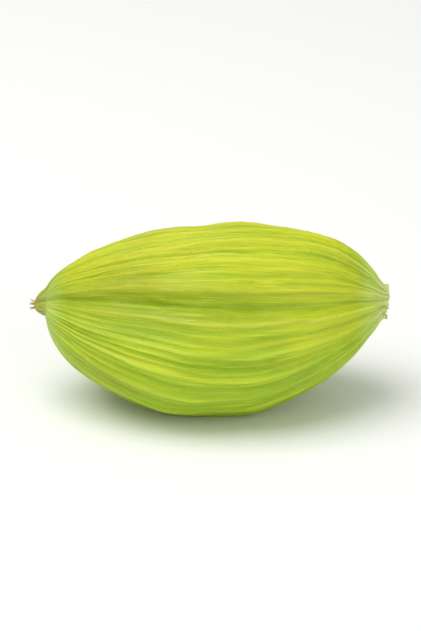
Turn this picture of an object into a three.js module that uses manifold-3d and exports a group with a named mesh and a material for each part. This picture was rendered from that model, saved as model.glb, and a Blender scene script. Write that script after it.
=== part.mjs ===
// Green cardamom pod: one dried three-lobed capsule, lying on one of its three faces.
// Millimetres, +Z up. The beak points to -X and the stalk to +X. The origin is on the surface
// that the pod lies on, under the middle of its bounding box.

import * as THREE from "three";
import { mergeVertices } from "three/addons/utils/BufferGeometryUtils.js";
import Module from "manifold-3d";

// Driving dimensions
const HUSK_LENGTH = 14.65;
const HUSK_RADIUS = 4.05; // mean radius of the widest section
const WIDEST_AT = 0.5; // share of the husk's length, from the beak
const WIDEST_SHIFT = 0.05; // towards the stalk along the top, and towards the beak underneath
const TAPER = 1.06; // higher makes both ends more pointed
const TAPER_ABOVE = 0.1; // of the taper, more along the top and less underneath

// The beak, where the flower dried away, and the broken stub of the stalk
const BEAK = { length: 0.5, radius: 0.8, rounding: 1.6, root: 2.2 };
const STALK = { length: 0.25, radius: 0.7, rounding: 0.14, root: 1.1 };
const FILLET_POWER = 2; // higher makes a sharper corner where the husk meets its two ends
const POD_LENGTH = BEAK.length + HUSK_LENGTH + STALK.length;

// Section: three lobes, with a groove along the middle of each face between them
const LOBES = 3;
const LOBE_SHARE = 0.06; // of the local radius, above and below the mean
const GROOVE_DEPTH = 0.34; // at its deepest, which is towards the top of the pod
const GROOVE_FADE = 0.35; // of that depth, up and down, so that the face underneath is flatter
const GROOVE_SHARPNESS = 7;
const OVAL_SHARE = 0.014; // how far the section is from a true circle, one lobe being larger
const OVAL_TURN = THREE.MathUtils.degToRad(35);

// Ribs, which run from the beak to the stalk
const RIBS_PER_LOBE = 7;
const RIBS = LOBES * RIBS_PER_LOBE;
const RIB_HEIGHT = 0.13;
const RIB_SHARPNESS = 1.5;
const RIB_UNEVENNESS = 0.4; // of the rib's height, up and down
const RIB_UNEVEN_WAVES = 5; // round the pod
const RIB_SPREAD = THREE.MathUtils.degToRad(4); // of the ribs to either side, so that some are wider
const RIB_SPREAD_WAVES = 4; // round the pod
const RIB_SPREAD_TURN = THREE.MathUtils.degToRad(120); // leaves the front groove in its place

// Low swellings over the seeds, in rows along the pod
const SEED_SWELLING = 0.05;
const SEEDS_ALONG = 3.5;
const SEED_ROW_SHIFTS = 2; // from row to row, round the pod

// The husk's drift from a straight, untwisted form
const ROLL = THREE.MathUtils.degToRad(-4); // of the top lobe, positive towards -Y
const TWIST = THREE.MathUtils.degToRad(5); // over the whole length
const WANDER = THREE.MathUtils.degToRad(2.2); // of each rib to either side
const WANDER_WAVES = 2; // round the pod
const BOW = -0.5; // of the axis at the middle, along Y
const SAG = 0.85; // of the axis at the middle, downwards

// The flat spot that the pod rests on is this far up from its lowest rib
const REST_DEPTH = 0.27;

// Facets
const COLUMNS_PER_RIB = 4;
const ROWS = 48;
const ROWS_AT_ENDS = 0.6; // how far the rows are drawn towards both ends, from 0 to 1
const MERGE_DISTANCE = 1e-3;

const HUSK_GREEN = new THREE.Color(0xb4c032);
const HUSK_ROUGHNESS = 0.55;

// Radius of the bare husk at a share of its length, from the beak end to the stalk end, and at
// an angle round its axis, from the top.
function huskRadius(share, angle) {
  if (share <= 0 || share >= 1) return 0;
  const taper = TAPER * (1 + TAPER_ABOVE * Math.cos(angle));
  const widest = WIDEST_AT + WIDEST_SHIFT * Math.cos(angle);
  const rise = (share / widest) ** widest;
  const fall = ((1 - share) / (1 - widest)) ** (1 - widest);
  return HUSK_RADIUS * (rise * fall) ** taper;
}

// Radius of the beak or the stalk at a distance from its own free end. It dies out inside the husk.
function endRadius(end, distance) {
  const into = 1 - Math.min(distance / end.rounding, 1);
  const sunk = THREE.MathUtils.smoothstep(distance, end.length, end.length + end.root);
  return end.radius * Math.sqrt(1 - into * into) * (1 - sunk);
}

// Share of the husk's length at a distance from the tip of the beak.
function huskShare(along) {
  return THREE.MathUtils.clamp((along - BEAK.length) / HUSK_LENGTH, 0, 1);
}

// Radius of the whole pod, before its relief, at a distance from the tip of the beak.
function podRadius(along, angle) {
  const radii = [
    huskRadius(huskShare(along), angle),
    endRadius(BEAK, along),
    endRadius(STALK, POD_LENGTH - along),
  ];
  return radii.reduce((sum, radius) => sum + radius ** FILLET_POWER, 0) ** (1 / FILLET_POWER);
}

// The pod's outline at its sides as a lathe profile, with its rows closer together at both ends.
function outline() {
  return Array.from({ length: ROWS + 1 }, (_, row) => {
    const turn = (2 * Math.PI * row) / ROWS;
    const along = (POD_LENGTH * (turn - ROWS_AT_ENDS * Math.sin(turn))) / (2 * Math.PI);
    return new THREE.Vector2(podRadius(along, Math.PI / 2), along);
  });
}

// Radius with lobes, grooves, ribs and seed swellings. All of it shrinks with the section, so
// that the ribs gather into pleats at both ends.
function reliefRadius(radius, share, angle) {
  const size = radius / HUSK_RADIUS;
  const lobes = LOBE_SHARE * Math.cos(LOBES * angle);
  const oval = OVAL_SHARE * Math.cos(angle - OVAL_TURN);
  const depth = GROOVE_DEPTH * (1 - GROOVE_FADE + GROOVE_FADE * Math.cos(angle));
  const groove = depth * Math.exp(-GROOVE_SHARPNESS * (1 + Math.cos(LOBES * angle)));
  const rib = ((1 + Math.cos(RIBS * angle)) / 2) ** RIB_SHARPNESS;
  const unevenness = RIB_UNEVENNESS * Math.cos(RIB_UNEVEN_WAVES * angle + 2 * Math.PI * share);
  const seedWave = Math.cos(2 * Math.PI * SEEDS_ALONG * share + SEED_ROW_SHIFTS * angle);
  const seeds = SEED_SWELLING * seedWave * Math.sin(Math.PI * share);
  const raised = RIB_HEIGHT * rib * (1 + unevenness) + seeds - groove;
  return radius * (1 + lobes + oval) + size * raised;
}

// How far a rib has drifted round the pod at a share of the husk's length.
function drift(share, angle) {
  const spread = RIB_SPREAD * Math.sin(RIB_SPREAD_WAVES * angle + RIB_SPREAD_TURN);
  const wander = WANDER * Math.sin(2 * Math.PI * share + WANDER_WAVES * angle);
  return ROLL + TWIST * (share - 0.5) + spread + wander;
}

// The lathe form, turned to lie along X, with its vertices moved out to the relief and onto the
// bowed axis.
function podForm() {
  const form = new THREE.LatheGeometry(outline(), RIBS * COLUMNS_PER_RIB);
  form.rotateZ(-Math.PI / 2);
  const position = form.getAttribute("position");
  const point = new THREE.Vector3();
  for (let i = 0; i < position.count; i++) {
    point.fromBufferAttribute(position, i);
    const share = huskShare(point.x);
    const angle = Math.atan2(-point.y, point.z);
    const radius = reliefRadius(podRadius(point.x, angle), share, angle);
    const turned = angle + drift(share, angle);
    const swing = Math.sin(Math.PI * share);
    const y = BOW * swing - radius * Math.sin(turned);
    const z = radius * Math.cos(turned) - SAG * swing;
    position.setXYZ(i, point.x, y, z);
  }
  return form;
}

// Moves the form so that its lowest point is REST_DEPTH under the origin and its middle is over it.
function setOverOrigin(form) {
  form.computeBoundingBox();
  const middle = form.boundingBox.getCenter(new THREE.Vector3());
  return form.translate(-middle.x, -middle.y, -REST_DEPTH - form.boundingBox.min.z);
}

const wasm = await Module();
wasm.setup();

function toSolid(geometry) {
  const bare = geometry.clone();
  bare.deleteAttribute("normal");
  bare.deleteAttribute("uv");
  const merged = mergeVertices(bare, MERGE_DISTANCE);
  const vertProperties = new Float32Array(merged.getAttribute("position").array);
  const triVerts = new Uint32Array(merged.index.array);
  return new wasm.Manifold(new wasm.Mesh({ numProp: 3, vertProperties, triVerts }));
}

function toGeometry(solid) {
  const mesh = solid.getMesh();
  const geometry = new THREE.BufferGeometry();
  geometry.setAttribute("position", new THREE.BufferAttribute(mesh.vertProperties, 3));
  geometry.setIndex(new THREE.BufferAttribute(mesh.triVerts, 1));
  geometry.computeVertexNormals();
  return geometry;
}

// What lies under the surface that the pod rests on, to cut its flat spot.
function underSurface() {
  const block = new THREE.BoxGeometry(POD_LENGTH, POD_LENGTH, POD_LENGTH);
  return block.translate(0, 0, -POD_LENGTH / 2);
}

function cardamomPod() {
  const solid = toSolid(setOverOrigin(podForm())).subtract(toSolid(underSurface()));
  const material = new THREE.MeshStandardMaterial({
    color: HUSK_GREEN,
    roughness: HUSK_ROUGHNESS,
    metalness: 0,
  });
  const pod = new THREE.Mesh(toGeometry(solid), material);
  pod.name = "cardamom_pod";
  return pod;
}

const part = new THREE.Group();
part.add(cardamomPod());

export default part;
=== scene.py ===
"""Green cardamom pod: the fine surface, materials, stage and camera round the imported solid."""

import math
from collections import namedtuple
from types import SimpleNamespace

import bpy
import numpy as np
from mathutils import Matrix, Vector


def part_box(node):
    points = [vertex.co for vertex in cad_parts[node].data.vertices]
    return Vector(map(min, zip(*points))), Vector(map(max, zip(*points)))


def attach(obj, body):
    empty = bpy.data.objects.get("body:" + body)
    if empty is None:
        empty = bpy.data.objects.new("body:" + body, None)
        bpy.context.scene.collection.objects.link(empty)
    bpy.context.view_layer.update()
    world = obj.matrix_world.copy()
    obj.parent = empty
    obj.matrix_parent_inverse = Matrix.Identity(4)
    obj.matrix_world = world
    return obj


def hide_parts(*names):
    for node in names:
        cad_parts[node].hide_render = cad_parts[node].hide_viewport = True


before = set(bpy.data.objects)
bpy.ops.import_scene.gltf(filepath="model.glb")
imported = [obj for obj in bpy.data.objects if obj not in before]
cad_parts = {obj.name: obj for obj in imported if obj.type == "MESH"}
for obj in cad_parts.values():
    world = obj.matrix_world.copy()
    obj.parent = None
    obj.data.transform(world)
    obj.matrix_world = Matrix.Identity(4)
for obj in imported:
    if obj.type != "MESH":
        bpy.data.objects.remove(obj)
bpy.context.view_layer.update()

# Main form, the same as the solid's, in millimetres
HUSK_LENGTH = 14.65
HUSK_RADIUS = 4.05  # mean radius of the widest section
WIDEST_AT = 0.5  # share of the husk's length, from the beak
WIDEST_SHIFT = 0.05  # towards the stalk along the top, and towards the beak underneath
TAPER = 1.06  # higher makes both ends more pointed
TAPER_ABOVE = 0.1  # of the taper, more along the top and less underneath
BEAK = SimpleNamespace(length=0.5, radius=0.8, rounding=1.6, root=2.2)
STALK = SimpleNamespace(length=0.25, radius=0.7, rounding=0.14, root=1.1)
POD_LENGTH = BEAK.length + HUSK_LENGTH + STALK.length
LOBES = 3
LOBE_SHARE = 0.06  # of the local radius, above and below the mean
GROOVE_DEPTH = 0.34  # at its deepest, which is towards the top of the pod
GROOVE_FADE = 0.35  # of that depth, up and down, so that the face underneath is flatter
GROOVE_SHARPNESS = 7
OVAL_SHARE = 0.014  # how far the section is from a true circle
OVAL_TURN = math.radians(35)
RIBS_PER_LOBE = 7
RIBS = LOBES * RIBS_PER_LOBE
RIB_HEIGHT = 0.13
RIB_SHARPNESS = 1.5
RIB_UNEVENNESS = 0.4  # of the rib's height, up and down
RIB_UNEVEN_WAVES = 5
RIB_SPREAD = math.radians(4)  # of the ribs to either side, so that some are wider
RIB_SPREAD_WAVES = 4
RIB_SPREAD_TURN = math.radians(120)
SEED_SWELLING = 0.05
SEEDS_ALONG = 3.5
SEED_ROW_SHIFTS = 2
ROLL = math.radians(-4)
TWIST = math.radians(5)
WANDER = math.radians(2.2)
WANDER_WAVES = 2
BOW = -0.5
SAG = 0.85
REST_DEPTH = 0.27  # of the flat spot, above the lowest rib

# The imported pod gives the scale, from these millimetres to the frame's metres
POD_NODE = "cardamom_pod"
pod_low, pod_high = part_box(POD_NODE)
pod_middle = (pod_low + pod_high) / 2
MM = (pod_high.x - pod_low.x) / POD_LENGTH

# Grid of the husk's mesh
COLUMNS_PER_RIB = 20
COLUMNS = COLUMNS_PER_RIB * RIBS
ROWS = 228
ROWS_AT_ENDS = 0.6  # how far the rows are drawn towards both ends, from 0 to 1
SCAR_ROWS = 5  # more rows, evenly across the middle of the stub's broken end

# Layers of noise on the grid, each with its seed, its knots along the pod and round it, and its weight
Layer = namedtuple("Layer", "seed along around weight")
RIB_BREAK_NOISE = [Layer(11, 9, RIBS, 1), Layer(12, 22, RIBS, 0.5)]
VEIN_WANDER_NOISE = [Layer(21, 7, 14, 1), Layer(22, 15, 28, 0.5)]
VEIN_NOISE = [Layer(23, 8, 30, 1)]
CREASE_WANDER_NOISE = [Layer(24, 9, LOBES, 1), Layer(25, 30, LOBES, 0.5)]
CREASE_NOISE = [Layer(26, 11, LOBES, 1)]
STREAK_NOISE = [Layer(31, 8, 110, 0.6), Layer(32, 16, 210, 0.4)]
WRINKLE_NOISE = [Layer(41, 64, 44, 0.6), Layer(42, 110, 84, 0.4)]
TEAR_NOISE = [Layer(71, 3, 9, 0.7), Layer(72, 3, 34, 0.3)]
BEAK_PLEAT_NOISE = [Layer(74, 12, 13, 1)]
STALK_PLEAT_NOISE = [Layer(75, 12, 19, 1)]
RUN_NOISE = [Layer(81, 3, 48, 1)]
SPARE_KNOTS = 3  # past the end of the pod, because each line starts between two knots

# Fine relief, which the solid doesn't have
RIB_BREAKS = 0.5  # of a rib's height, where it fades along its run
RIB_BREAK_RANGE = (-0.2, 1.2)  # of the noise, from a whole rib to a broken one
VEINS_PER_RIB = 3
VEINS = VEINS_PER_RIB * RIBS
VEIN_HEIGHT = 0.085
VEIN_SHARPNESS = 2
VEIN_WANDER = 0.03
VEIN_FAINTEST = 0.45  # of its height
VEIN_RANGE = (-0.6, 0.6)  # of the noise, from a faint vein to a full one
CREASE_DEPTH = 0.1  # of the fine crease along the bottom of each groove
CREASE_SHARPNESS = 160
CREASE_WANDER = 0.02
CREASE_RANGE = (-1.2, 0.4)  # of the noise, from no crease to a full one
STREAK_HEIGHT = 0.055
WRINKLE_HEIGHT = 0.03
WRINKLE_FAINTEST = 0.4  # of that height, at the middle of the pod
DENTS = SimpleNamespace(seed=51, count=16, shares=(0.12, 0.88), radius=(0.5, 1.3), depth=(0.03, 0.1))
SPOT_STRETCH = 1.6  # how much longer than wide dents and stains are
FINE_RELIEF_HOLD = 1.6  # the relief shrinks with sections under 1 / 1.6 of the widest
SHRIVEL_DEPTH = 0.07  # of the pleats in the dried beak and stub
BEAK_DROOP = 0.16
BEAK_DROOP_REACH = 1.6
TEAR_DEPTH = 0.14  # of the stub's broken rim
VEIN_ENDS = SimpleNamespace(seed=76, count=16, jitter=0.3, ring=(0.45, 0.8), radius=0.06, height=0.06)

# Colour over the husk
CREST_SHARES = SimpleNamespace(ribs=0.45, veins=0.45, streaks=0.2)
RUN_WANDER = 0.2  # of the pod's length, by which neighbouring colour streaks start apart
FRONT_STAIN = SimpleNamespace(share=0.24, turn=0.14, radius=1.2)
STAINS = SimpleNamespace(
    seed=52, count=6, shares=(0.1, 0.9), turns=(0.3, 1), strength=(0.3, 0.7), radius=(0.6, 1.4)
)

# Torn fibres at both ends
FIBRE_SIDES = 5
FIBRE_STEPS = 5
FIBRE_TAPER = 0.75  # of its thickness, lost by the tip
FIBRE_JITTER = 0.3  # of the gap between neighbours
FIBRE_RING = (0.35, 0.95)  # of the tuft's radius
FIBRE_LEAN = (-0.1, 0.35)
FIBRE_ROOT = 0.3  # of its length, sunk in the pod
FIBRE_CURL = 0.25  # of its length, to either side
Tuft = namedtuple("Tuft", "seed count radius length thickness")
STALK_TUFT = Tuft(61, 8, STALK.radius, (0.2, 0.4), (0.04, 0.08))
BEAK_TUFT = Tuft(62, 5, 0.2 * BEAK.radius, (0.2, 0.45), (0.04, 0.07))

# Stage
FLOOR_REACH = 1.5  # in metres
SKY_STRENGTH = 0.48
Lamp = namedtuple("Lamp", "name place size watts")
LAMPS = [
    Lamp("key", place=(-60, -10, 165), size=160, watts=0.245),
    Lamp("fill", place=(130, -140, 60), size=180, watts=0.11),
]

# Camera: in front of the pod and a little above it
VIEW_ELEVATION = math.radians(24)
LENS = 200
SENSOR_LONG_SIDE = 36
IMAGE_WIDTH, IMAGE_HEIGHT = 421, 631
POD_SHARE_OF_WIDTH = 0.84
CLIP_SHARE = 0.01  # of the camera's distance

# Places on the grid: rows along the pod, and columns round it from the top towards -Y
row_turns = 2 * math.pi * np.arange(1, ROWS)[:, None] / ROWS
row_places = POD_LENGTH * (row_turns - ROWS_AT_ENDS * np.sin(row_turns)) / (2 * math.pi)
scar_shares = 1 - np.arange(1, SCAR_ROWS + 1)[:, None] / (SCAR_ROWS + 1)
scar_places = POD_LENGTH - (POD_LENGTH - row_places[-1]) * scar_shares**2
ALONG = np.concatenate([row_places, scar_places])
SHARES = np.clip((ALONG - BEAK.length) / HUSK_LENGTH, 0, 1)
TURNS = np.arange(COLUMNS)[None, :] / COLUMNS
ANGLES = 2 * math.pi * TURNS
GRID_SHAPE = (len(ALONG), COLUMNS)


def smooth_step(value, low, high):
    """0 below low, 1 above high, and a smooth rise between them."""
    part = np.clip((value - low) / (high - low), 0, 1)
    return part * part * (3 - 2 * part)


def ring_noise(layer, turn_shift):
    """Smooth random values over the grid, from -1 to 1, that meet where the grid closes round the pod.

    The knots lie on lines along the pod, and each line starts at its own place, so that the knots
    of neighbouring lines are not level with each other.
    """
    random = np.random.default_rng(layer.seed)
    knots = random.uniform(-1, 1, (layer.along + SPARE_KNOTS, layer.around))
    starts = random.uniform(0, 1, layer.around)

    def along_line(line):
        row = layer.along * ALONG / POD_LENGTH + starts[line]
        row_low = np.floor(row).astype(int)
        part = smooth_step(row - row_low, 0, 1)
        return knots[row_low, line] * (1 - part) + knots[row_low + 1, line] * part

    column = layer.around * (TURNS + turn_shift)
    column_low = np.floor(column).astype(int)
    across = smooth_step(column - column_low, 0, 1)
    near = along_line(column_low % layer.around)
    far = along_line((column_low + 1) % layer.around)
    return near * (1 - across) + far * across


def noise(layers, turn_shift=0):
    """The sum of some layers of noise, by their weights."""
    return sum(layer.weight * ring_noise(layer, turn_shift) for layer in layers)


# Main form


def husk_radius():
    """Radius of the bare husk, without its beak and stalk."""
    taper = TAPER * (1 + TAPER_ABOVE * np.cos(ANGLES))
    widest = WIDEST_AT + WIDEST_SHIFT * np.cos(ANGLES)
    rise = (SHARES / widest) ** widest
    fall = ((1 - SHARES) / (1 - widest)) ** (1 - widest)
    return HUSK_RADIUS * (rise * fall) ** taper


def end_radius(end, distance):
    """Radius of the beak or the stalk at a distance from its free end."""
    into = 1 - np.minimum(distance / end.rounding, 1)
    sunk = smooth_step(distance, end.length, end.length + end.root)
    return end.radius * np.sqrt(1 - into**2) * (1 - sunk)


def pod_radius():
    """Radius of the whole pod, before its relief."""
    beak = end_radius(BEAK, ALONG)
    stalk = end_radius(STALK, POD_LENGTH - ALONG)
    return np.sqrt(husk_radius() ** 2 + beak**2 + stalk**2)


def rib_wave():
    """0 in the valleys between ribs and 1 on their crests."""
    return ((1 + np.cos(RIBS * ANGLES)) / 2) ** RIB_SHARPNESS


def groove_wave():
    """1 along the middle of each face and 0 away from it."""
    return np.exp(-GROOVE_SHARPNESS * (1 + np.cos(LOBES * ANGLES)))


def relief():
    """Height of grooves, ribs and seed swellings at the widest section."""
    groove = GROOVE_DEPTH * (1 - GROOVE_FADE + GROOVE_FADE * np.cos(ANGLES)) * groove_wave()
    unevenness = RIB_UNEVENNESS * np.cos(RIB_UNEVEN_WAVES * ANGLES + 2 * math.pi * SHARES)
    seed_wave = np.cos(2 * math.pi * SEEDS_ALONG * SHARES + SEED_ROW_SHIFTS * ANGLES)
    seeds = SEED_SWELLING * seed_wave * np.sin(math.pi * SHARES)
    return RIB_HEIGHT * rib_wave() * (1 + unevenness) + seeds - groove


def main_form():
    """Radius of the solid's own form over the grid."""
    radius = pod_radius()
    lobes = LOBE_SHARE * np.cos(LOBES * ANGLES)
    oval = OVAL_SHARE * np.cos(ANGLES - OVAL_TURN)
    return radius * (1 + lobes + oval) + radius / HUSK_RADIUS * relief()


def place(radius):
    """Points of the grid at a radius from the bowed and twisted axis."""
    spread = RIB_SPREAD * np.sin(RIB_SPREAD_WAVES * ANGLES + RIB_SPREAD_TURN)
    wander = WANDER * np.sin(2 * math.pi * SHARES + WANDER_WAVES * ANGLES)
    drift = ROLL + TWIST * (SHARES - 0.5) + spread + wander
    swing = np.sin(math.pi * SHARES)
    x = np.broadcast_to(ALONG, radius.shape)
    y = BOW * swing - radius * np.sin(ANGLES + drift)
    z = radius * np.cos(ANGLES + drift) - SAG * swing
    return np.stack([x, y, z], axis=-1)


# Fine relief


def rib_breaks():
    """How far each rib falls short of its full height along its run."""
    half_rib = 0.5 / RIBS
    patches = noise(RIB_BREAK_NOISE, half_rib)
    return RIB_HEIGHT * RIB_BREAKS * rib_wave() * smooth_step(patches, *RIB_BREAK_RANGE)


def vein_wave():
    """0 between the fine veins and up to 1 on them. They wander apart from the ribs and fade."""
    wander = VEIN_WANDER * noise(VEIN_WANDER_NOISE)
    strength = VEIN_FAINTEST + (1 - VEIN_FAINTEST) * smooth_step(noise(VEIN_NOISE), *VEIN_RANGE)
    return strength * ((1 + np.cos(VEINS * (ANGLES + wander))) / 2) ** VEIN_SHARPNESS


def crease_wave():
    """1 in the fine crease along the bottom of each groove, which runs unevenly, and 0 away from it."""
    wander = CREASE_WANDER * noise(CREASE_WANDER_NOISE)
    strength = smooth_step(noise(CREASE_NOISE), *CREASE_RANGE)
    return strength * np.exp(-CREASE_SHARPNESS * (1 + np.cos(LOBES * (ANGLES + wander))))


def wrinkles():
    """Small creases across the ribs, deeper towards both ends."""
    strength = WRINKLE_FAINTEST + (1 - WRINKLE_FAINTEST) * (1 - np.sin(math.pi * SHARES))
    return strength * noise(WRINKLE_NOISE)


def spot(share, turn, radius):
    """1 at a place on the husk and 0 well away from it, drawn out along the pod."""
    across = (TURNS - turn + 0.5) % 1 - 0.5
    far = np.hypot((SHARES - share) * HUSK_LENGTH / SPOT_STRETCH, across * 2 * math.pi * HUSK_RADIUS)
    return np.exp(-((far / radius) ** 2))


def dents():
    """Depth of the shallow hollows where the husk has dried in between the seeds."""
    random = np.random.default_rng(DENTS.seed)
    depth = np.zeros(GRID_SHAPE)
    for _ in range(DENTS.count):
        share = random.uniform(*DENTS.shares)
        turn = random.uniform()
        radius = random.uniform(*DENTS.radius)
        depth += random.uniform(*DENTS.depth) * spot(share, turn, radius)
    return depth


def fine_relief():
    """Height of everything on the husk that is finer than its ribs."""
    lines = VEIN_HEIGHT * vein_wave() + STREAK_HEIGHT * noise(STREAK_NOISE)
    sunk = rib_breaks() + dents() + CREASE_DEPTH * crease_wave()
    return lines + WRINKLE_HEIGHT * wrinkles() - sunk


def shrivel():
    """Pleats along the dried beak and the stub, which die out on the husk."""
    on_beak = 1 - smooth_step(ALONG, BEAK.length, BEAK.length + BEAK.root)
    on_stalk = smooth_step(ALONG, POD_LENGTH - STALK.length - STALK.root, POD_LENGTH - STALK.length)
    pleats = on_beak * noise(BEAK_PLEAT_NOISE) + on_stalk * noise(STALK_PLEAT_NOISE)
    return SHRIVEL_DEPTH * pleats * np.minimum(pod_radius() / BEAK.radius, 1)


def vein_ends():
    """1 on each cut vein in the stub's broken end, where they stand round the pith, and 0 elsewhere."""
    random = np.random.default_rng(VEIN_ENDS.seed)
    radius = pod_radius()
    strength = np.zeros(GRID_SHAPE)
    for index in range(VEIN_ENDS.count):
        turn = (index + random.uniform(-VEIN_ENDS.jitter, VEIN_ENDS.jitter)) / VEIN_ENDS.count
        out = STALK.radius * random.uniform(*VEIN_ENDS.ring)
        far_squared = radius**2 + out**2 - 2 * radius * out * np.cos(ANGLES - 2 * math.pi * turn)
        strength += np.exp(-far_squared / VEIN_ENDS.radius**2)
    return np.clip(strength, 0, 1) * (ALONG > POD_LENGTH - STALK.rounding)


def shape_ends(points):
    """Lets the beak droop and turns the stalk's broken end into a shallow cup with a torn rim."""
    points[:, :, 2] -= BEAK_DROOP * np.clip(1 - ALONG / BEAK_DROOP_REACH, 0, 1) ** 2
    rim = POD_LENGTH - STALK.rounding
    up_to_rim = smooth_step(ALONG, rim - STALK.length, rim)
    past_rim = smooth_step(ALONG, rim, POD_LENGTH)
    stretch = STALK.rounding * up_to_rim
    cup = 2 * np.maximum(ALONG - rim, 0)
    torn = TEAR_DEPTH * up_to_rim * (1 - past_rim) * noise(TEAR_NOISE)
    points[:, :, 0] += stretch - cup + torn + VEIN_ENDS.height * vein_ends()


def husk_points():
    """Points of the finished husk in metres, in the frame, and the middle points of its two ends."""
    radius = main_form()
    solid = place(radius)
    corner_low, corner_high = solid.min(axis=(0, 1)), solid.max(axis=(0, 1))
    shift = -(corner_low + corner_high) / 2
    shift[0] = -POD_LENGTH / 2
    shift[2] = -REST_DEPTH - corner_low[2]
    hold = np.minimum(FINE_RELIEF_HOLD * radius / HUSK_RADIUS, 1)
    points = place(radius + hold * fine_relief() + shrivel())
    shape_ends(points)
    points += shift
    points[:, :, 2] = np.maximum(points[:, :, 2], 0)
    beak_tip = points[0].mean(axis=0) - (ALONG[0, 0], 0, 0)
    stalk_middle = points[-1].mean(axis=0)
    return points * MM, beak_tip * MM, stalk_middle * MM


# Meshes


def grid_faces():
    """Quads between the rows, closed round the pod, with a fan of triangles at each end."""
    rows = len(ALONG)
    beak_tip, stalk_middle = rows * COLUMNS, rows * COLUMNS + 1
    here = np.arange(COLUMNS)
    after = (here + 1) % COLUMNS
    faces = []
    for row in range(rows - 1):
        near, far = row * COLUMNS, (row + 1) * COLUMNS
        faces += np.stack([near + here, near + after, far + after, far + here], axis=1).tolist()
    last = (rows - 1) * COLUMNS
    sides = list(zip(here.tolist(), after.tolist()))
    faces += [[beak_tip, second, first] for first, second in sides]
    faces += [[stalk_middle, last + first, last + second] for first, second in sides]
    return faces


def new_piece(name, points, faces):
    """A smooth mesh that rides on the pod's one body."""
    mesh = bpy.data.meshes.new(name)
    mesh.from_pydata([tuple(point) for point in points], [], faces)
    mesh.update()
    mesh.shade_smooth()
    piece = bpy.data.objects.new(name, mesh)
    bpy.context.scene.collection.objects.link(piece)
    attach(piece, "root")
    return piece


def crests():
    """How far a point stands out by its rib, vein and streak, for its colour."""
    by_lines = CREST_SHARES.ribs * rib_wave() + CREST_SHARES.veins * vein_wave()
    return np.clip(by_lines + CREST_SHARES.streaks * noise(STREAK_NOISE), 0, 1)


def stains():
    """Strength of the ochre stains: one above the front groove near the beak, and fainter ones."""
    random = np.random.default_rng(STAINS.seed)
    total = spot(FRONT_STAIN.share, FRONT_STAIN.turn, FRONT_STAIN.radius)
    for _ in range(STAINS.count):
        share = random.uniform(*STAINS.shares)
        turn = random.uniform(*STAINS.turns)
        strength = random.uniform(*STAINS.strength)
        total += strength * spot(share, turn, random.uniform(*STAINS.radius))
    return np.clip(total, 0, 1)


def keep_values(piece, name, values, ends):
    """Stores one number for each grid point and each end, for the material to read."""
    layer = piece.data.attributes.new(name, "FLOAT", "POINT")
    grid = np.broadcast_to(values, GRID_SHAPE).ravel()
    layer.data.foreach_set("value", np.concatenate([grid, ends]).astype(np.float32))


def keep_run(piece):
    """Stores a place for streaks: round the pod in a circle, and slowly along it."""
    layer = piece.data.attributes.new("run", "FLOAT_VECTOR", "POINT")
    parts = [np.cos(ANGLES), np.sin(ANGLES), ALONG / POD_LENGTH + RUN_WANDER * noise(RUN_NOISE)]
    grid = np.stack([np.broadcast_to(part, GRID_SHAPE).ravel() for part in parts], axis=1)
    ends = np.array([[0, 0, 0], [0, 0, 1]])
    layer.data.foreach_set("vector", np.concatenate([grid, ends]).astype(np.float32).ravel())


def make_husk():
    points, beak_tip, stalk_middle = husk_points()
    every_point = np.concatenate([points.reshape(-1, 3), [beak_tip, stalk_middle]])
    piece = new_piece("pod_husk", every_point, grid_faces())
    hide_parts(POD_NODE)
    keep_values(piece, "crest", crests(), [0, 0])
    # Where the grooves run, for their olive tone darkened with painted shade
    keep_values(piece, "groove", groove_wave(), [0, 0])
    # How far each point faces up: for a yellower top, partly the skin's own tone and partly painted
    # light, and a greener underside, which is painted shade
    keep_values(piece, "upper_tone_and_light", (1 + np.cos(ANGLES)) / 2, [0.5, 0.5])
    keep_values(piece, "stain", stains(), [0, 0])
    keep_values(piece, "vein_end", vein_ends(), [0, 0])
    keep_values(piece, "along", ALONG / POD_LENGTH, [0, 1])
    keep_run(piece)
    return piece, Vector(beak_tip), Vector(stalk_middle)


def fibre(root, heading, length, thickness, curl):
    """Points and faces of one tapered strand that starts inside the pod."""
    side = heading.orthogonal().normalized()
    other = heading.cross(side)
    points = []
    for step in range(FIBRE_STEPS + 1):
        part = step / FIBRE_STEPS
        middle = root + heading * (length * part) + curl * part**2
        reach = thickness * (1 - FIBRE_TAPER * part)
        for corner in range(FIBRE_SIDES):
            turn = 2 * math.pi * corner / FIBRE_SIDES
            points.append(middle + (side * math.cos(turn) + other * math.sin(turn)) * reach)
    faces = []
    for step in range(FIBRE_STEPS):
        near, far = step * FIBRE_SIDES, (step + 1) * FIBRE_SIDES
        for corner in range(FIBRE_SIDES):
            after = (corner + 1) % FIBRE_SIDES
            faces.append([near + corner, near + after, far + after, far + corner])
    top = FIBRE_STEPS * FIBRE_SIDES
    faces.append(list(range(FIBRE_SIDES))[::-1])
    faces.append([top + corner for corner in range(FIBRE_SIDES)])
    return points, faces


def make_fibres(name, tuft, middle, outward):
    """A tuft of strands in one piece, set round the middle of an end."""
    random = np.random.default_rng(tuft.seed)
    points, faces = [], []
    for index in range(tuft.count):
        turn = 2 * math.pi * (index + random.uniform(-FIBRE_JITTER, FIBRE_JITTER)) / tuft.count
        lean = Vector((0, math.cos(turn), math.sin(turn)))
        away = tuft.radius * random.uniform(*FIBRE_RING) * MM
        heading = (outward + lean * random.uniform(*FIBRE_LEAN)).normalized()
        length = random.uniform(*tuft.length) * MM
        root = middle + lean * away - outward * (FIBRE_ROOT * length)
        curl = lean * (random.uniform(-FIBRE_CURL, FIBRE_CURL) * length)
        thickness = random.uniform(*tuft.thickness) * MM
        strand, strand_faces = fibre(root, heading, length, thickness, curl)
        faces += [[len(points) + corner for corner in face] for face in strand_faces]
        points += strand
    return new_piece(name, points, faces)


# Materials


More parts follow.
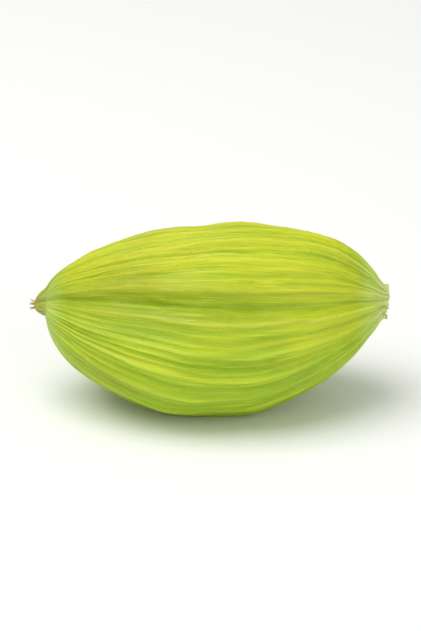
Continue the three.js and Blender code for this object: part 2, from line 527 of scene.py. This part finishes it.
def srgb(red, green, blue):
    """A colour given from 0 to 255, as it shows on a screen, in the shader's own linear numbers."""
    parts = [value / 255 for value in (red, green, blue)]
    linear = [part / 12.92 if part <= 0.04045 else ((part + 0.055) / 1.055) ** 2.4 for part in parts]
    return (*linear, 1)


LIME = srgb(178, 208, 24)
LEMON = srgb(202, 212, 24)
LEAF_GREEN = srgb(136, 176, 14)
RIPE_YELLOW = srgb(216, 206, 34)
STRAW = srgb(222, 230, 76)
OLIVE = srgb(156, 174, 0)
OCHRE = srgb(168, 168, 0)
PALE_GREEN = srgb(210, 238, 120)
CREAM = srgb(236, 236, 172)
TAN = srgb(192, 174, 84)
RUST = srgb(150, 112, 34)
FLOOR_WHITE = srgb(246, 246, 244)
SKY_WHITE = (1, 1, 1, 1)

# Noise in the materials: streaks by turns round the pod and along it, and the rest by millimetres
Grain = namedtuple("Grain", "scale detail roughness")
STREAK_GRAINS = {
    "broad_streaks": Grain((7, 7, 2.2), 3, 0.5),
    "fine_streaks": Grain((30, 30, 4), 3, 0.6),
    "hair_lines": Grain((64, 64, 5), 2, 0.6),
    "skin_grain": Grain((90, 90, 26), 3, 0.6),
}
SPOT_GRAINS = {
    "patches": Grain((0.1, 0.4, 0.4), 2, 0.5),
    "mottle": Grain((2.2, 2.2, 2.2), 4, 0.65),
    "specks": Grain((5.5, 5.5, 5.5), 2, 0.5),
}
STRAND_GRAIN = Grain((2, 9, 9), 3, 0.5)
STORED_MASKS = ["along", "crest", "groove", "upper_tone_and_light", "stain", "vein_end"]

# Tints of the husk, laid on in this order: where a mask gives none and all of a tint, and the most of it
Tint = namedtuple("Tint", "mask none_at all_at most colour")
GROUND_TINTS = [
    # By how far a point faces up: a yellower top, partly the skin's own tone and partly painted light,
    # and a greener underside, which is painted shade
    Tint("upper_tone_and_light", 0.3, 0.9, 1, LEMON),
    Tint("upper_tone_and_light", 0.45, 0.1, 0.55, LEAF_GREEN),
    Tint("patches", 0.5, 0.7, 0.6, LEAF_GREEN),
    Tint("broad_streaks", 0.5, 0.75, 0.5, RIPE_YELLOW),
    Tint("fine_streaks", 0.5, 0.75, 0.3, STRAW),
    Tint("fine_streaks", 0.46, 0.25, 0.4, LEAF_GREEN),
]
# Olive along the middle of each face: the groove's own tone, darkened as painted shade in the groove
GROOVE_TONE_AND_SHADE = [Tint("groove", 0.02, 0.7, 0.85, OLIVE)]
LINE_TINTS = [
    Tint("crest", 0.3, 0, 0.45, LEAF_GREEN),
    Tint("crest", 0.35, 0.9, 0.35, STRAW),
    Tint("hair_lines", 0.46, 0.3, 0.5, LEAF_GREEN),
    Tint("hair_lines", 0.55, 0.72, 0.4, STRAW),
    Tint("mottle", 0.55, 0.75, 0.2, RIPE_YELLOW),
    Tint("specks", 0.7, 0.78, 0.6, RUST),
]
END_TINTS = [
    Tint("from_beak", 0.1, 0.03, 0.7, PALE_GREEN),
    Tint("from_beak", 0.042, 0.004, 1, TAN),
    Tint("to_stalk", 0.9, 0.965, 0.85, PALE_GREEN),
    Tint("to_stalk", 0.968, 0.99, 1, CREAM),
    Tint("along", 0.993, 0.998, 0.7, TAN),
]
SCAR_TINTS = [Tint("vein_end", 0.2, 0.9, 0.6, RUST)]

# Ramps from one range of a mask to another
Ramp = namedtuple("Ramp", "low high start end")
STAIN_MOTTLING = Ramp(0.3, 0.6, 0.5, 0.9)
# How much of the painted shade in the grooves stays, less towards the stalk
GROOVE_FADING = Ramp(0.9, 0.5, 0.35, 1)
END_BORDER = Ramp(0.3, 0.7, -0.016, 0.016)  # by which streaks run past the edge of a tint
END_RAGGEDNESS = Ramp(0.3, 0.7, 0.35, 1)
HUSK_ROUGHNESS = Ramp(0.3, 0.7, 0.3, 0.48)
STRAND_SHADES = Ramp(0.35, 0.65, 0, 1)

# Bumps, with their depth in millimetres
Bump = namedtuple("Bump", "mask strength depth")
HUSK_BUMPS = [
    Bump("fine_streaks", 0.8, 0.06),
    Bump("hair_lines", 0.6, 0.04),
    Bump("skin_grain", 0.7, 0.04),
]
STRAND_BUMPS = [Bump("strands", 0.5, 0.03)]

# Sockets of the mix node that are for colours
MIX_FACTOR, MIX_FIRST, MIX_SECOND = 0, 6, 7
MIX_RESULT = 2


class Recipe:
    """A new material with a shader, and short ways to add nodes to it."""

    def __init__(self, name):
        self.material = bpy.data.materials.new(name)
        self.material.use_nodes = True
        self.tree = self.material.node_tree
        self.shader = self.tree.nodes["Principled BSDF"]

    def feed(self, socket, value):
        """Links another node's output to a socket, or sets the socket to a constant."""
        if isinstance(value, bpy.types.NodeSocket):
            self.tree.links.new(value, socket)
        else:
            socket.default_value = value

    def add(self, kind, inputs, output=0, **settings):
        node = self.tree.nodes.new(kind)
        for name, value in settings.items():
            setattr(node, name, value)
        for key, value in inputs.items():
            self.feed(node.inputs[key], value)
        return node.outputs[output]

    def stored(self, name, output="Fac"):
        """What the mesh keeps for each of its points under a name."""
        return self.add("ShaderNodeAttribute", {}, output, attribute_name=name)

    def stretch(self, vector, scale):
        return self.add("ShaderNodeMapping", {"Vector": vector, "Scale": scale})

    def place_mm(self):
        """The place on the piece in millimetres."""
        return self.stretch(self.add("ShaderNodeTexCoord", {}, "Object"), (1 / MM,) * 3)

    def noise(self, vector, grain):
        inputs = {"Vector": self.stretch(vector, grain.scale), "Scale": 1}
        inputs |= {"Detail": grain.detail, "Roughness": grain.roughness}
        return self.add("ShaderNodeTexNoise", inputs)

    def between(self, value, low, high, start, end):
        """A smooth change from start to end while a value goes from low to high."""
        inputs = {"Value": value, "From Min": low, "From Max": high, "To Min": start, "To Max": end}
        return self.add("ShaderNodeMapRange", inputs, interpolation_type="SMOOTHSTEP")

    def math(self, operation, first, second):
        return self.add("ShaderNodeMath", {0: first, 1: second}, operation=operation)

    def mix(self, factor, first, second):
        inputs = {MIX_FACTOR: factor, MIX_FIRST: first, MIX_SECOND: second}
        return self.add("ShaderNodeMix", inputs, MIX_RESULT, data_type="RGBA")

    def paint(self, colour, masks, tints, weight=None):
        """Lays tints on a colour in turn, each by its mask, and by one weight for all of them."""
        for tint in tints:
            share = self.between(masks[tint.mask], tint.none_at, tint.all_at, 0, tint.most)
            if weight is not None:
                share = self.math("MULTIPLY", share, weight)
            colour = self.mix(share, colour, tint.colour)
        return colour

    def emboss(self, masks, bumps):
        """A normal with some bumps, each on top of the one before."""
        normal = None
        for bump in bumps:
            inputs = {"Height": masks[bump.mask], "Strength": bump.strength, "Distance": bump.depth * MM}
            if normal is not None:
                inputs["Normal"] = normal
            normal = self.add("ShaderNodeBump", inputs)
        return normal

    def shade(self, **inputs):
        for name, value in inputs.items():
            self.feed(self.shader.inputs[name.replace("_", " ")], value)
        return self.material


def husk_masks(recipe):
    """Values over the husk that its tints and bumps follow, by name."""
    run = recipe.stored("run", "Vector")
    place_mm = recipe.place_mm()
    masks = {name: recipe.stored(name) for name in STORED_MASKS}
    masks |= {name: recipe.noise(run, grain) for name, grain in STREAK_GRAINS.items()}
    masks |= {name: recipe.noise(place_mm, grain) for name, grain in SPOT_GRAINS.items()}
    border = recipe.between(masks["fine_streaks"], *END_BORDER)
    masks["from_beak"] = recipe.math("SUBTRACT", masks["along"], border)
    masks["to_stalk"] = recipe.math("ADD", masks["along"], border)
    return masks


def husk_colour(recipe, masks):
    mottling = recipe.between(masks["mottle"], *STAIN_MOTTLING)
    fading = recipe.between(masks["along"], *GROOVE_FADING)
    raggedness = recipe.between(masks["fine_streaks"], *END_RAGGEDNESS)
    # The ground colour holds a yellower top, partly painted light, and a greener underside, which is
    # painted shade
    colour = recipe.paint(LIME, masks, GROUND_TINTS)
    colour = recipe.mix(recipe.math("MULTIPLY", masks["stain"], mottling), colour, OCHRE)
    # Painted shade in the grooves, weaker towards the stalk
    colour = recipe.paint(colour, masks, GROOVE_TONE_AND_SHADE, fading)
    colour = recipe.paint(colour, masks, LINE_TINTS)
    colour = recipe.paint(colour, masks, END_TINTS, raggedness)
    return recipe.paint(colour, masks, SCAR_TINTS)


def husk_material():
    recipe = Recipe("dried_green_husk")
    masks = husk_masks(recipe)
    return recipe.shade(
        Base_Color=husk_colour(recipe, masks),
        Roughness=recipe.between(masks["mottle"], *HUSK_ROUGHNESS),
        Specular_IOR_Level=0.42,
        Subsurface_Weight=0.08,
        Subsurface_Radius=(0.9, 1.0, 0.25),
        Subsurface_Scale=0.5 * MM,
        Normal=recipe.emboss(masks, HUSK_BUMPS),
    )


def fibre_material(name, pale, dark):
    recipe = Recipe(name)
    masks = {"strands": recipe.noise(recipe.place_mm(), STRAND_GRAIN)}
    return recipe.shade(
        Base_Color=recipe.mix(recipe.between(masks["strands"], *STRAND_SHADES), pale, dark),
        Roughness=0.75,
        Subsurface_Weight=0.15,
        Subsurface_Radius=(1.0, 0.8, 0.5),
        Subsurface_Scale=0.2 * MM,
        Normal=recipe.emboss(masks, STRAND_BUMPS),
    )


def make_pod():
    husk, beak_tip, stalk_middle = make_husk()
    husk.data.materials.append(husk_material())
    stalk_fibres = make_fibres("stalk_fibres", STALK_TUFT, stalk_middle, Vector((1, 0, 0)))
    stalk_fibres.data.materials.append(fibre_material("stalk_fibre", CREAM, TAN))
    beak_fibres = make_fibres("beak_fibres", BEAK_TUFT, beak_tip, Vector((-1, 0, 0)))
    beak_fibres.data.materials.append(fibre_material("beak_fibre", TAN, RUST))


# Stage and camera


def make_floor():
    mesh = bpy.data.meshes.new("floor")
    corners = [(-FLOOR_REACH, -FLOOR_REACH, 0), (FLOOR_REACH, -FLOOR_REACH, 0)]
    corners += [(FLOOR_REACH, FLOOR_REACH, 0), (-FLOOR_REACH, FLOOR_REACH, 0)]
    mesh.from_pydata(corners, [], [(0, 1, 2, 3)])
    floor = bpy.data.objects.new("floor", mesh)
    bpy.context.scene.collection.objects.link(floor)
    recipe = Recipe("white_floor")
    mesh.materials.append(recipe.shade(Base_Color=FLOOR_WHITE, Roughness=0.9))


def make_sky():
    world = bpy.data.worlds.new("studio")
    world.use_nodes = True
    background = world.node_tree.nodes["Background"]
    background.inputs["Color"].default_value = SKY_WHITE
    background.inputs["Strength"].default_value = SKY_STRENGTH
    bpy.context.scene.world = world


def make_light(lamp):
    """A square soft light that faces the middle of the pod."""
    light = bpy.data.lights.new(lamp.name, "AREA")
    light.size = lamp.size * MM
    light.energy = lamp.watts
    fixture = bpy.data.objects.new(lamp.name, light)
    fixture.location = Vector(lamp.place) * MM
    toward = pod_middle - fixture.location
    fixture.rotation_euler = toward.to_track_quat("-Z", "Y").to_euler()
    bpy.context.scene.collection.objects.link(fixture)


def make_camera():
    data = bpy.data.cameras.new("camera")
    data.lens = LENS
    data.sensor_width = SENSOR_LONG_SIDE
    camera = bpy.data.objects.new("camera", data)
    view_width = (pod_high.x - pod_low.x) / POD_SHARE_OF_WIDTH
    distance = view_width * LENS / SENSOR_LONG_SIDE * IMAGE_HEIGHT / IMAGE_WIDTH
    back = Vector((0, -math.cos(VIEW_ELEVATION), math.sin(VIEW_ELEVATION)))
    camera.location = pod_middle + back * distance
    camera.rotation_euler = (-back).to_track_quat("-Z", "Y").to_euler()
    data.clip_start = CLIP_SHARE * distance
    bpy.context.scene.collection.objects.link(camera)
    bpy.context.scene.camera = camera


make_pod()
make_floor()
make_sky()
for lamp in LAMPS:
    make_light(lamp)
make_camera()
bpy.context.scene.view_settings.view_transform = "Standard"
